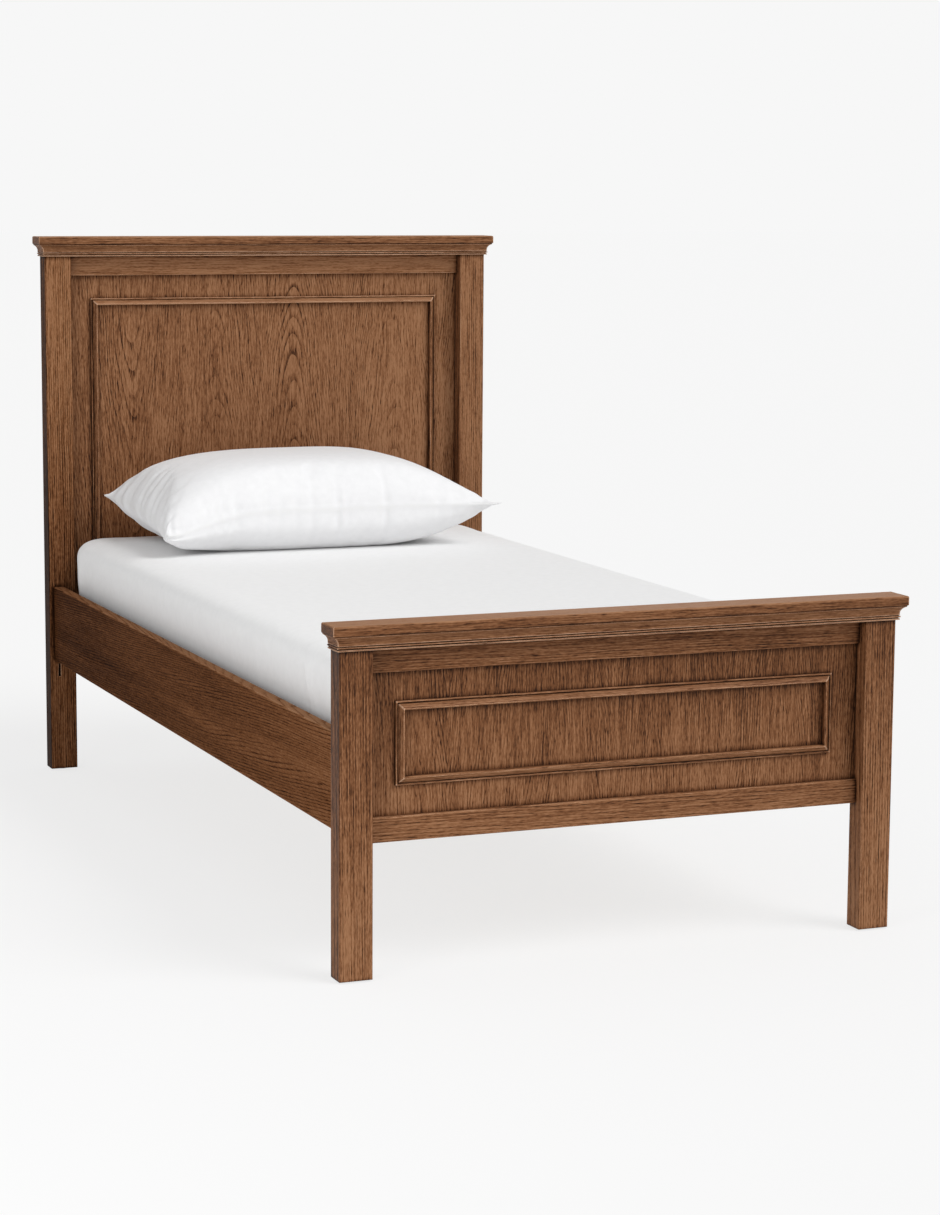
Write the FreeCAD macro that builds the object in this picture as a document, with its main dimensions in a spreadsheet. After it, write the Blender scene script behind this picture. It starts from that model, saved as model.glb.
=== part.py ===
import FreeCAD, Part
import os
import re

import Sketcher
from FreeCAD import Placement, Rotation, Vector

# A single bed of stained oak: headboard and footboard of posts, cross rails and a moulded panel,
# joined by two hooked side rails that carry slats, a mattress and a pillow.
# Millimetres; origin on the floor under the middle of the bed, headboard at +Y, +Z up.

doc = FreeCAD.newDocument("bed")
sheet = doc.addObject("Spreadsheet::Sheet", "dims")
trial = doc.addObject("Spreadsheet::Sheet", "trial")

SIZES = [
    ("mattress_width", 990, "mattress, which sets the width of the bed"),
    ("mattress_length", 1905, "mattress, which sets the length of the bed"),
    ("mattress_thick", 215, "mattress, with its crown"),
    ("mattress_side", 17, "mattress to each side rail"),
    ("mattress_gap", 5, "mattress to head posts"),
    ("mattress_foot", 40, "mattress to foot posts"),
    ("post_width", 62, "post, across the bed"),
    ("post_depth", 46, "post, along the bed"),
    ("head_post_top", 1201, "top of a head post"),
    ("foot_post_top", 586, "top of a foot post"),
    ("edge_round", 2, "eased edges of posts, rails and slats"),
    ("fit", 0.2, "clearance of glued and sliding joints"),
    ("cut_over", 1, "overrun of a cut past the face it starts from"),
    ("glide_height", 3, "nylon glide under each post"),
    ("glide_radius", 11, "head of the glide"),
    ("shank_radius", 2.5, "nail of the glide"),
    ("shank_length", 16, "nail of the glide"),
    ("cross_height", 45, "height of each cross rail of the boards"),
    ("cross_thick", 22, "cross rail, front to back"),
    ("low_rail_bottom", 240, "underside of the low cross rails"),
    ("panel_recess", 12, "panel face behind the cross rail face"),
    ("panel_thick", 6, "panel"),
    ("groove_depth", 8, "groove that holds the panel edge"),
    ("tenon_length", 28, "tenon of a cross rail"),
    ("tenon_thick", 8, "tenon of a cross rail"),
    ("tenon_shoulder", 5, "from the outer edge of the rail to its tenon"),
    ("tenon_land", 4, "from the panel groove to the tenon"),
    ("mortise_room", 1, "mortise beyond the end of its tenon"),
    ("cove_height", 27, "crown moulding under the cap"),
    ("cove_reach", 14.5, "crown moulding, out from the post face"),
    ("cap_lip", 2.5, "cap board beyond the crown moulding"),
    ("cap_thick", 18.5, "cap board"),
    ("cap_round", 3, "eased edges of the cap board"),
    ("dowel_radius", 5, "dowel between post and crown"),
    ("dowel_depth", 22, "dowel depth in post and in crown"),
    ("mould_margin", 53, "bare panel round the applied moulding"),
    ("mould_width", 16, "applied panel moulding"),
    ("mould_height", 12, "applied panel moulding, out from the panel"),
    ("rail_height", 174, "side rail"),
    ("rail_thick", 24, "side rail"),
    ("rail_inset", 10, "side rail behind the outer face of the posts"),
    ("rail_bottom", 261, "underside of the side rails"),
    ("hook_thick", 3, "steel hook plate"),
    ("hook_depth", 50, "hook plate inside the rail"),
    ("hook_reach", 17, "hooks beyond the rail end"),
    ("hook_arm", 10, "height of a hook arm"),
    ("hook_tip", 11, "prong of a hook, below the middle of its pin"),
    ("hook_prong", 7.4, "prong of a hook, along the bed"),
    ("hook_low", 39, "lower post pin above the underside of the rail"),
    ("hook_pitch", 80, "between the two post pins"),
    ("plate_margin", 8, "hook plate beyond its hooks, up and down"),
    ("pin_radius", 3, "post pin"),
    ("pin_in", 6, "post pin behind the post face"),
    ("pin_set", 12, "post pin sunk below the inner face of the post"),
    ("pin_beyond", 14, "post pin beyond the middle of the slot"),
    ("slot_width", 5, "slot in the post for the hooks"),
    ("slot_depth", 20, "slot in the post for the hooks"),
    ("slot_below", 38, "slot below the underside of the rail"),
    ("rivet_radius", 2.5, "pin through the hook plate"),
    ("rivet_length", 18, "pin through the hook plate"),
    ("rivet_edge", 14, "pin from the edges of the hook plate"),
    ("ledger_up", 28, "strip above the underside of the rail"),
    ("ledger_height", 30, "strip that carries the slats"),
    ("ledger_thick", 25, "strip that carries the slats"),
    ("ledger_short", 20, "strip stops short of each post"),
    ("screw_radius", 2.2, "ledger screw"),
    ("screw_head", 4.5, "ledger screw head, radius"),
    ("screw_cap", 3, "ledger screw head, height"),
    ("screw_sink", 14, "ledger screw in the rail"),
    ("screw_margin", 120, "first ledger screw from the strip end"),
    ("slat_width", 70, "slat"),
    ("slat_thick", 18, "slat"),
    ("slat_margin", 35, "first slat from the posts"),
    ("slat_ends", 3, "clearance of a slat end to the side rail"),
    ("strap_width", 20, "webbing that spaces the slats"),
    ("strap_thick", 1.2, "webbing that spaces the slats"),
    ("strap_out", 300, "webbing from the middle of the bed"),
    ("mattress_corner", 45, "corner of the mattress in plan"),
    ("tuck_inset", 14, "lower edge of the mattress, drawn in"),
    ("tuck_rise", 18, "height of that lower edge"),
    ("waist_inset", 4, "sides of the mattress, drawn in at half height"),
    ("roll_drop", 30, "rounded upper edge of the mattress, start below the crown"),
    ("brow_inset", 15, "rounded upper edge, drawn in"),
    ("brow_drop", 6, "rounded upper edge, end below the crown"),
    ("crown_inset", 120, "level middle of the mattress top"),
    ("pillow_width", 800, "pillow between its corners, across the bed"),
    ("pillow_depth", 475, "pillow between its corners, along the bed"),
    ("pillow_thick", 205, "pillow"),
    ("pillow_shift", 15, "pillow off the middle line"),
    ("pillow_gap", 20, "pillow corners to head posts"),
]

DERIVED = [
    ("bed_width", "mattress_width + 2 * (mattress_side + rail_thick + rail_inset)", "over the posts"),
    ("clear_length", "mattress_length + mattress_gap + mattress_foot", "side rail, between the posts"),
    ("cap_overhang", "cove_reach + cap_lip", "cap board beyond the post faces"),
    ("half_width", "bed_width / 2", "outer face of a post"),
    ("inner_half", "half_width - post_width", "inner face of a post"),
    ("whole_length", "cap_overhang + 2 * post_depth + clear_length", "foot cap to back of the head posts"),
    ("foot_front", "cap_overhang - whole_length / 2", "show face of the foot posts"),
    ("foot_back", "foot_front + post_depth", "bed side of the foot posts"),
    ("head_front", "foot_back + clear_length", "bed side of the head posts"),
    ("rail_middle_y", "foot_back + clear_length / 2", "middle of the side rails"),
    ("rail_mid_x", "half_width - rail_inset - rail_thick / 2", "middle plane of a side rail"),
    ("rail_face_x", "rail_mid_x - rail_thick / 2", "inner face of a side rail"),
    ("cross_recess", "post_depth - cross_thick", "cross rails flush with the back of the posts"),
    ("low_rail_top", "low_rail_bottom + cross_height", "upper edge of the low cross rails"),
    ("panel_face", "cross_recess + panel_recess", "panel face behind the post face"),
    ("tongue", "groove_depth - fit", "panel edge in its groove"),
    ("tenon_height", "cross_height - tenon_shoulder - groove_depth - tenon_land", "tenon of a cross rail"),
    ("tenon_front", "(cross_thick - tenon_thick) / 2", "front of the tenon on the rail"),
    ("mould_half", "inner_half - mould_margin", "half the width of the moulding frame"),
    ("mould_over", "mould_width + cut_over", "mitre cut of the panel moulding"),
    ("cove_over", "cove_reach + cut_over", "mitre cut of the crown moulding"),
    ("slot_x", "inner_half - rail_mid_x", "slot from the inner face of the left post"),
    ("pin_length", "pin_beyond - slot_x - pin_set", "post pin"),
    ("pin_low", "rail_bottom + hook_low", "height of the lower post pin"),
    ("pin_high", "pin_low + hook_pitch", "height of the upper post pin"),
    ("arm_high", "pin_high + pin_radius + hook_arm", "top of the upper hook"),
    ("slot_top", "arm_high + hook_tip + 2 * pin_radius", "room to lift the hooks off their pins"),
    ("plate_low", "pin_low - hook_tip - plate_margin", "lower end of the hook plate"),
    ("plate_high", "arm_high + plate_margin", "upper end of the hook plate"),
    ("notch", "hook_reach - hook_prong", "room for the pin behind a prong"),
    ("ledger_bottom", "rail_bottom + ledger_up", "underside of the ledger"),
    ("slat_bottom", "ledger_bottom + ledger_height", "underside of the slats"),
    ("mattress_bottom", "slat_bottom + slat_thick", "top of the slats"),
    ("ledger_middle", "ledger_bottom + ledger_height / 2", "height of the ledger screws"),
    ("ledger_length", "clear_length - 2 * ledger_short", "ledger"),
    ("screw_run", "ledger_length - 2 * screw_margin", "first to last ledger screw"),
    ("slat_length", "2 * (rail_face_x - slat_ends)", "slat"),
    ("slat_run", "clear_length - 2 * slat_margin", "outer edges of the first and last slats"),
    ("slat_first", "foot_back + slat_margin + slat_width / 2", "first slat"),
    ("mattress_y", "head_front - mattress_gap - mattress_length / 2", "middle of the mattress"),
    ("mattress_top", "mattress_bottom + mattress_thick", "crown of the mattress"),
    ("pillow_y", "head_front - pillow_gap - pillow_depth / 2", "middle of the pillow"),
    ("pillow_z", "mattress_top + pillow_thick / 2", "seam of the pillow"),
]

SLATS = 13
LEDGER_SCREWS = 6
WORD = re.compile(r"\b([a-z]\w+)\b")
nodes = []


def fill_sheet():
    """One row for each size: its name, its value or formula under that name, and what it measures."""
    rows = [(name, str(number), note) for name, number, note in SIZES]
    rows += [(name, "=" + formula, note) for name, formula, note in DERIVED]
    for row, (name, content, note) in enumerate(rows, 1):
        sheet.set(f"A{row}", name)
        sheet.set(f"B{row}", content)
        sheet.setAlias(f"B{row}", name)
        sheet.set(f"C{row}", note)
    doc.recompute()


def named(formula):
    """The formula with each name pointed at the sheet."""
    return WORD.sub(r"dims.\1", formula)


def value(formula):
    """Present value of a formula, used to draw a sketch near its solved form."""
    trial.set("A1", "=" + named(formula))
    trial.recompute()
    return float(trial.get("A1"))


def bind(thing, prop, formula):
    """Drives one property of an object by a formula of sheet names."""
    thing.setExpression(prop, named(formula))


def place(thing, x="0", y="0", z="0", turn=None):
    """Stands an object at a sheet-driven point, turned by a fixed rotation."""
    thing.Placement = Placement(Vector(value(x), value(y), value(z)), turn or Rotation())
    for axis, formula in zip("xyz", (x, y, z)):
        bind(thing, f"Placement.Base.{axis}", formula)


def new_body(label):
    body = doc.addObject("PartDesign::Body", label)
    body.Label = label
    return body


def origin_item(body, role):
    return next(item for item in body.Origin.OriginFeatures if item.Role == role)


def new_sketch(body, role, lift):
    """Sketch on one of the body's origin planes, lifted along that plane's normal."""
    sketch = body.newObject("Sketcher::SketchObject", "sketch")
    sketch.AttachmentSupport = [(origin_item(body, role), "")]
    sketch.MapMode = "FlatFace"
    bind(sketch, "AttachmentOffset.Base.z", lift)
    return sketch


def hold(sketch, kind, item, point, formula):
    """Ties one coordinate of a sketch point to a formula, measured from the sketch origin."""
    index = sketch.addConstraint(Sketcher.Constraint(kind, -1, 1, item, point, value(formula)))
    bind(sketch, f"Constraints[{index}]", formula)


def hold_radius(sketch, item, formula):
    index = sketch.addConstraint(Sketcher.Constraint("Radius", item, sketch.Geometry[item].Radius))
    bind(sketch, f"Constraints[{index}]", formula)


def outline(body, role, corners, lift="0", arcs=None):
    """Closed outline through sheet-driven corners, counter-clockwise where it has arcs.

    arcs maps a side's number to the formula of its rise: outward if positive, inward if negative."""
    arcs = arcs or {}
    sketch = new_sketch(body, role, lift)
    points = [Vector(value(x), value(y), 0) for x, y in corners]
    count = len(points)
    ends = []
    for side in range(count):
        start, end = points[side], points[(side + 1) % count]
        rise = value(arcs[side]) if side in arcs else 0
        along = (end - start).normalize()
        middle = (start + end) * 0.5 + Vector(along.y, -along.x, 0) * rise
        sketch.addGeometry(Part.Arc(start, middle, end) if rise else Part.LineSegment(start, end), False)
        ends.append((2, 1) if rise < 0 else (1, 2))
    for side in range(count):
        after = (side + 1) % count
        sketch.addConstraint(Sketcher.Constraint("Coincident", side, ends[side][1], after, ends[after][0]))
    for side, (x, y) in enumerate(corners):
        hold(sketch, "DistanceX", side, ends[side][0], x)
        hold(sketch, "DistanceY", side, ends[side][0], y)
    for side, rise in arcs.items():
        (x0, y0), (x1, y1) = corners[side], corners[(side + 1) % count]
        chord_squared = f"((({x1}) - ({x0}))^2 + (({y1}) - ({y0}))^2)"
        sign = "-" if value(rise) < 0 else ""
        hold_radius(sketch, side, f"({chord_squared} / 4 + ({rise})^2) / ({sign}2 * ({rise}))")
    return sketch


def box(x0, y0, x1, y1):
    """Corners of an upright rectangle."""
    return [(x0, y0), (x1, y0), (x1, y1), (x0, y1)]


def disc(body, role, x, y, radius, lift="0"):
    """Circle on an origin plane."""
    sketch = new_sketch(body, role, lift)
    centre = Vector(value(x), value(y), 0)
    sketch.addGeometry(Part.Circle(centre, Vector(0, 0, 1), value(radius)), False)
    hold(sketch, "DistanceX", 0, 3, x)
    hold(sketch, "DistanceY", 0, 3, y)
    hold_radius(sketch, 0, radius)
    return sketch


def feature(body, kind, sketch, length, both, back):
    """Pad or pocket of a sketch; both grows it to either side, back turns its direction round."""
    made = body.newObject("PartDesign::" + kind, kind.lower())
    made.Profile = sketch
    bind(made, "Length", length)
    if both:
        made.SideType = "Symmetric"
    made.Reversed = back
    body.Tip = made
    return made


def pad(body, sketch, length, both=True):
    return feature(body, "Pad", sketch, length, both, False)


def pocket(body, sketch, length, both=False, back=False):
    return feature(body, "Pocket", sketch, length, both, back)


def bored(body, role, x, y, radius, depth, lift="0", back=False):
    """Blind round hole with a little room for the pin that goes in it."""
    return pocket(body, disc(body, role, x, y, f"{radius} + fit / 2", lift), depth, back=back)


def rounded(body, base, radius, wanted):
    """Rounds the edges of a feature whose midpoint and direction are wanted."""
    doc.recompute()
    names = []
    for number, edge in enumerate(base.Shape.Edges, 1):
        first, last = edge.Vertexes[0].Point, edge.Vertexes[-1].Point
        if wanted((first + last) * 0.5, (last - first).normalize()):
            names.append(f"Edge{number}")
    made = body.newObject("PartDesign::Fillet", "eased")
    made.Base = (base, names)
    bind(made, "Radius", radius)
    body.Tip = made


def mirrored(label, source):
    """The same piece on the other side of the bed."""
    twin = doc.addObject("Part::Mirroring", label)
    twin.Label = label
    twin.Source = source
    twin.Normal = Vector(1, 0, 0)
    twin.Base = Vector(0, 0, 0)
    return twin


def pair(name, make, *details):
    """Builds the left piece and mirrors it to the right; both become nodes."""
    left = make(name + "_left", *details)
    nodes.extend([left, mirrored(name + "_right", left)])


def group(label, members):
    """Like small parts of both sides, kept as one node of separate solids."""
    made = doc.addObject("Part::Compound", label)
    made.Label = label
    made.Links = members + [mirrored(member.Label + "_twin", member) for member in members]
    nodes.append(made)


# Posts. Each stands on its glide with its show face at local y = 0 and its inner face at x = 0.
# It is mortised for two cross rails, grooved for the panel, and slotted for the hooks of the side rail.

def post(label, front, top, slot_from, slot_to, pin_y):
    body = new_body(label)
    section = outline(body, "XY_Plane", box("-post_width", "0", "0", "post_depth"), "glide_height")
    stock = pad(body, section, f"{top} - glide_height", both=False)
    rounded(body, stock, "edge_round", lambda middle, way: abs(way.z) > 0.9)
    tenon_y = "cross_recess + tenon_front"
    for foot in ("low_rail_bottom + tenon_shoulder", f"{top} - tenon_shoulder - tenon_height"):
        mortise = box(f"{tenon_y} - fit / 2", f"{foot} - fit / 2",
                      f"{tenon_y} + tenon_thick + fit / 2", f"{foot} + tenon_height + fit / 2")
        pocket(body, outline(body, "YZ_Plane", mortise), "tenon_length + mortise_room")
    groove = box("panel_face - fit / 2", "low_rail_top - groove_depth",
                 "panel_face + panel_thick + fit / 2", f"{top} - cross_height + groove_depth")
    pocket(body, outline(body, "YZ_Plane", groove), "groove_depth")
    slot = box(slot_from, "rail_bottom - slot_below", slot_to, "slot_top")
    pocket(body, outline(body, "YZ_Plane", slot, "slot_x"), "slot_width", both=True)
    for height in ("pin_low", "pin_high"):
        bored(body, "YZ_Plane", pin_y, height, "pin_radius", "pin_set + pin_length")
    centre = ("-post_width / 2", "post_depth / 2")
    bored(body, "XY_Plane", *centre, "dowel_radius", "dowel_depth + fit", top)
    bored(body, "XY_Plane", *centre, "shank_radius", "shank_length + fit", "glide_height", back=True)
    place(body, "-inner_half", front)
    return body


def post_glides():
    """Nylon nail-on glide under each post."""
    members = []
    for front in ("head_front", "foot_front"):
        body = new_body("glide")
        pad(body, disc(body, "XY_Plane", "0", "0", "glide_radius"), "glide_height", both=False)
        pad(body, disc(body, "XY_Plane", "0", "0", "shank_radius"), "glide_height + shank_length", both=False)
        place(body, "post_width / 2 - half_width", f"{front} + post_depth / 2")
        members.append(body)
    group("post_glides", members)


# Boards. Two tenoned cross rails hold a thin panel in their grooves, flush with the back of the posts.

def cross_rail(label, front, bottom, upper):
    body = new_body(label)
    section = outline(body, "YZ_Plane", box("0", "0", "cross_thick", "cross_height"))
    stock = pad(body, section, "2 * inner_half")
    half_height = value("cross_height / 2")
    rounded(body, stock, "edge_round",
            lambda middle, way: abs(way.x) > 0.9 and not (upper and middle.z > half_height))
    foot = "cross_height - tenon_shoulder - tenon_height" if upper else "tenon_shoulder"
    tenon = box("tenon_front", foot, "tenon_front + tenon_thick", f"{foot} + tenon_height")
    pad(body, outline(body, "YZ_Plane", tenon), "2 * (inner_half + tenon_length)")
    low = "-cut_over" if upper else "cross_height - groove_depth"
    high = "groove_depth" if upper else "cross_height + cut_over"
    groove = box("panel_recess - fit / 2", low, "panel_recess + panel_thick + fit / 2", high)
    pocket(body, outline(body, "YZ_Plane", groove), "2 * inner_half", both=True)
    place(body, "0", f"{front} + cross_recess", bottom)
    nodes.append(body)


def panel(label, front, top):
    body = new_body(label)
    section = box("0", "low_rail_top - tongue", "panel_thick", f"{top} - cross_height + tongue")
    pad(body, outline(body, "YZ_Plane", section), "2 * (inner_half + tongue)")
    place(body, "0", f"{front} + panel_face")
    nodes.append(body)


# Applied panel moulding: four mitred strips with an outer bead, a quirk and a band that swells inward.
# Corner points are fractions of the strip's width and height; its outer edge is at local y = 0.

MOULD_POINTS = [(0, 0), (1, 0), (1, 0.8), (0.85, 1), (0.3, 0.44),
                (0.3, 0.28), (0.23, 0.28), (0.23, 0.38), (0, 0.38)]
MOULD_ARCS = {2: "mould_width * 0.04", 3: "mould_width * 0.05", 7: "mould_width * 0.09"}


def mitred_mould(label, half_length, x, y, z, turn):
    body = new_body(label)
    corners = [(f"mould_width * {u}", f"mould_height * {v}") for u, v in MOULD_POINTS]
    pad(body, outline(body, "YZ_Plane", corners, arcs=MOULD_ARCS), f"2 * ({half_length})")
    end = f"({half_length})"
    right = [(end, "0"), (end, "mould_over"), (f"{end} - mould_over", "mould_over")]
    left = [(f"-{end}", "0"), (f"mould_over - {end}", "mould_over"), (f"-{end}", "mould_over")]
    for mitre in (right, left):
        pocket(body, outline(body, "XY_Plane", mitre), "4 * mould_height", both=True)
    place(body, x, y, z, turn)
    return body


def mould_frame(name, front, top):
    low = "low_rail_top + mould_margin"
    high = f"{top} - cross_height - mould_margin"
    face = f"{front} + panel_face"
    out = Vector(0, -1, 0)
    hanging = Rotation(Vector(-1, 0, 0), Vector(0, 0, -1), out, "XYZ")
    standing = Rotation(Vector(1, 0, 0), Vector(0, 0, 1), out, "XYZ")
    upright = Rotation(Vector(0, 0, -1), Vector(1, 0, 0), out, "XYZ")
    nodes.append(mitred_mould(name + "_mould_top", "mould_half", "0", face, high, hanging))
    nodes.append(mitred_mould(name + "_mould_bottom", "mould_half", "0", face, low, standing))
    half_height, middle = f"({high} - ({low})) / 2", f"({high} + {low}) / 2"
    pair(name + "_mould", mitred_mould, half_height, "-mould_half", face, middle, upright)


# Crown: a core board on the posts, a cove moulding mitred round its front and ends, a cap board on top.
# The cove's points are fractions of its reach and height; its back is at local y = 0.

COVE_POINTS = [(0, 0), (0.35, 0), (0.35, 0.1), (0.23, 0.1), (0.23, 0.165), (0.35, 0.165), (0.35, 0.285), (0.26, 0.285),
               (0.26, 0.335), (0.37, 0.335), (1, 0.93), (1, 1), (0, 1)]
COVE_ARCS = {5: "cove_height * 0.045", 9: "-cove_height * 0.13"}


def cove_profile(body, lift="0"):
    corners = [(f"cove_reach * {u}", f"cove_height * {v}") for u, v in COVE_POINTS]
    return outline(body, "YZ_Plane", corners, lift, COVE_ARCS)


def cove_front(label, front, top):
    body = new_body(label)
    pad(body, cove_profile(body), "2 * (half_width + cove_over)")
    tip = "half_width + cove_over"
    right = [("half_width", "0"), (tip, "0"), (tip, "cove_over")]
    left = [("-half_width", "0"), (f"-({tip})", "cove_over"), (f"-({tip})", "0")]
    for mitre in (right, left):
        pocket(body, outline(body, "XY_Plane", mitre), "4 * cove_height", both=True)
    place(body, "0", front, top, Rotation(Vector(0, 0, 1), 180))
    nodes.append(body)


def cove_return(label, front, top):
    body = new_body(label)
    pad(body, cove_profile(body, "-cove_over"), "post_depth + cove_over", both=False)
    mitre = [("0", "0"), ("-cove_over", "cove_over"), ("-cove_over", "0")]
    pocket(body, outline(body, "XY_Plane", mitre), "4 * cove_height", both=True)
    place(body, "-half_width", front, top, Rotation(Vector(0, 0, 1), 90))
    return body


def crown(name, front, top):
    core = new_body(name + "_crown_core")
    plan = box("-half_width", "0", "half_width", "post_depth")
    pad(core, outline(core, "XY_Plane", plan), "cove_height", both=False)
    for x in ("post_width / 2 - half_width", "half_width - post_width / 2"):
        bored(core, "XY_Plane", x, "post_depth / 2", "dowel_radius", "dowel_depth + fit", back=True)
    place(core, "0", front, top)
    cap = new_body(name + "_cap")
    plan = box("-half_width - cap_overhang", "-cap_overhang", "half_width + cap_overhang", "post_depth")
    slab = pad(cap, outline(cap, "XY_Plane", plan), "cap_thick", both=False)
    middle_y = value("post_depth / 2 + fit")
    rounded(cap, slab, "cap_round", lambda middle, way: abs(way.z) < 0.1 and middle.y < middle_y)
    place(cap, "0", front, f"{top} + cove_height")
    nodes.extend([core, cap])
    cove_front(name + "_cove_front", front, top)
    pair(name + "_cove", cove_return, front, top)


def crown_dowels():
    """A dowel from each post up into the crown core."""
    members = []
    for front, top in (("head_front", "head_post_top"), ("foot_front", "foot_post_top")):
        dowel = doc.addObject("Part::Cylinder", "dowel")
        bind(dowel, "Radius", "dowel_radius")
        bind(dowel, "Height", "2 * dowel_depth")
        place(dowel, "post_width / 2 - half_width", f"{front} + post_depth / 2", f"{top} - dowel_depth")
        members.append(dowel)
    group("crown_dowels", members)


# Side rails. Each butts between two posts; a steel plate in a kerf at either end hooks over two post pins.

RIVETS = (("hook_depth - rivet_edge", "plate_low + rivet_edge"),
          ("hook_depth - rivet_edge", "plate_high - rivet_edge"))


def side_rail(label):
    body = new_body(label)
    section = outline(body, "XZ_Plane", box("-rail_thick / 2", "0", "rail_thick / 2", "rail_height"))
    stock = pad(body, section, "clear_length")
    rounded(body, stock, "edge_round", lambda middle, way: abs(way.y) > 0.9)
    low, high = "plate_low - rail_bottom - fit / 2", "plate_high - rail_bottom + fit / 2"
    near, far = "clear_length / 2 - hook_depth - fit / 2", "clear_length / 2 + cut_over"
    for kerf in (box(near, low, far, high), box(f"-({far})", low, f"-({near})", high)):
        pocket(body, outline(body, "YZ_Plane", kerf), "hook_thick + fit", both=True)
    for inward, height in RIVETS:
        for end in ("", "-"):
            spot = (f"{end}(clear_length / 2 - ({inward}))", f"{height} - rail_bottom")
            bored(body, "YZ_Plane", *spot, "rivet_radius", "rivet_length", "rail_thick / 2")
    screw_spot = ("-screw_run / 2", "ledger_middle - rail_bottom")
    row(body, bored(body, "YZ_Plane", *screw_spot, "screw_radius", "screw_sink + fit", "rail_thick / 2"))
    place(body, "-rail_mid_x", "rail_middle_y", "rail_bottom")
    return body


def row(body, hole):
    """Repeats a screw hole along the bed."""
    made = body.newObject("PartDesign::LinearPattern", "row")
    made.Originals = [hole]
    made.Direction = (origin_item(body, "Y_Axis"), [""])
    bind(made, "Length", "screw_run")
    made.Occurrences = LEDGER_SCREWS
    body.Tip = made


def hook_plate(label, end, turn):
    body = new_body(label)
    corners = [("-hook_depth", "plate_low"), ("0", "plate_low")]
    for pin in ("pin_low", "pin_high"):
        under, tip = f"{pin} + pin_radius", f"{pin} - hook_tip"
        corners += [("0", under), ("notch", under), ("notch", tip), ("hook_reach", tip),
                    ("hook_reach", f"{under} + hook_arm"), ("0", f"{under} + hook_arm")]
    corners += [("0", "plate_high"), ("-hook_depth", "plate_high")]
    pad(body, outline(body, "YZ_Plane", corners), "hook_thick")
    for inward, height in RIVETS:
        hole = disc(body, "YZ_Plane", f"-({inward})", height, "rivet_radius + fit / 2")
        pocket(body, hole, "2 * hook_thick", both=True)
    place(body, "-rail_mid_x", end, "0", turn)
    return body


def rod(name, radius, length, x, y, z):
    """Steel pin that runs from x towards the outside of the bed, on the left side."""
    made = doc.addObject("Part::Cylinder", name)
    bind(made, "Radius", radius)
    bind(made, "Height", length)
    place(made, x, y, z, Rotation(Vector(0, 1, 0), -90))
    return made


def pins_and_rivets():
    pins, rivets = [], []
    for face, into_post, into_rail in (("head_front", "+", "-"), ("foot_back", "-", "+")):
        for height in ("pin_low", "pin_high"):
            spot = f"{face} {into_post} pin_in"
            pins.append(rod("pin", "pin_radius", "pin_length", "-inner_half - pin_set", spot, height))
        for inward, height in RIVETS:
            spot = f"{face} {into_rail} ({inward})"
            rivets.append(rod("rivet", "rivet_radius", "rivet_length", "-rail_face_x", spot, height))
    group("post_pins", pins)
    group("hook_rivets", rivets)


# Slat bed: a ledger screwed inside each side rail, loose slats on it, two webbing straps under the slats.

def ledger(label):
    body = new_body(label)
    section = outline(body, "XZ_Plane", box("0", "0", "ledger_thick", "ledger_height"))
    pad(body, section, "ledger_length")
    spot = ("-screw_run / 2", "ledger_height / 2")
    row(body, bored(body, "YZ_Plane", *spot, "screw_radius", "ledger_thick + cut_over", "ledger_thick"))
    row(body, bored(body, "YZ_Plane", *spot, "screw_head", "screw_cap", "ledger_thick"))
    place(body, "-rail_face_x", "rail_middle_y", "ledger_bottom")
    return body


def ledger_screws():
    """Sunk screws from each ledger into its side rail."""
    members = []
    for number in range(LEDGER_SCREWS):
        body = new_body("screw")
        shank = disc(body, "YZ_Plane", "0", "0", "screw_radius", "-screw_sink")
        pad(body, shank, "screw_sink + ledger_thick - screw_cap", both=False)
        head = disc(body, "YZ_Plane", "0", "0", "screw_head", "ledger_thick - screw_cap")
        pad(body, head, "screw_cap", both=False)
        spot = f"rail_middle_y - screw_run / 2 + screw_run * {number} / {LEDGER_SCREWS - 1}"
        place(body, "-rail_face_x", spot, "ledger_middle")
        members.append(body)
    group("ledger_screws", members)


def slats():
    pitch = f"(slat_run - slat_width) / {SLATS - 1}"
    for number in range(SLATS):
        body = new_body(f"slat_{number + 1:02d}")
        section = outline(body, "YZ_Plane", box("-slat_width / 2", "0", "slat_width / 2", "slat_thick"))
        stock = pad(body, section, "slat_length")
        rounded(body, stock, "edge_round", lambda middle, way: abs(way.x) > 0.9)
        place(body, "0", f"slat_first + {number} * {pitch}", "slat_bottom")
        nodes.append(body)


def strap(label):
    made = doc.addObject("Part::Box", label)
    made.Label = label
    bind(made, "Length", "strap_width")
    bind(made, "Width", "slat_run")
    bind(made, "Height", "strap_thick")
    place(made, "-strap_out - strap_width / 2", "foot_back + slat_margin", "slat_bottom - strap_thick")
    return made


# Soft goods: a crowned mattress with drawn-in sides, and a plump pillow with pointed corners on its seam.

MATTRESS_LEVELS = [("0", "tuck_inset"), ("tuck_rise", "0"), ("mattress_thick / 2", "waist_inset"),
                   ("mattress_thick - roll_drop", "0"), ("mattress_thick - brow_drop", "brow_inset"),
                   ("mattress_thick", "crown_inset")]
QUARTER_RISE = "mattress_corner * 0.2929"


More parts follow.
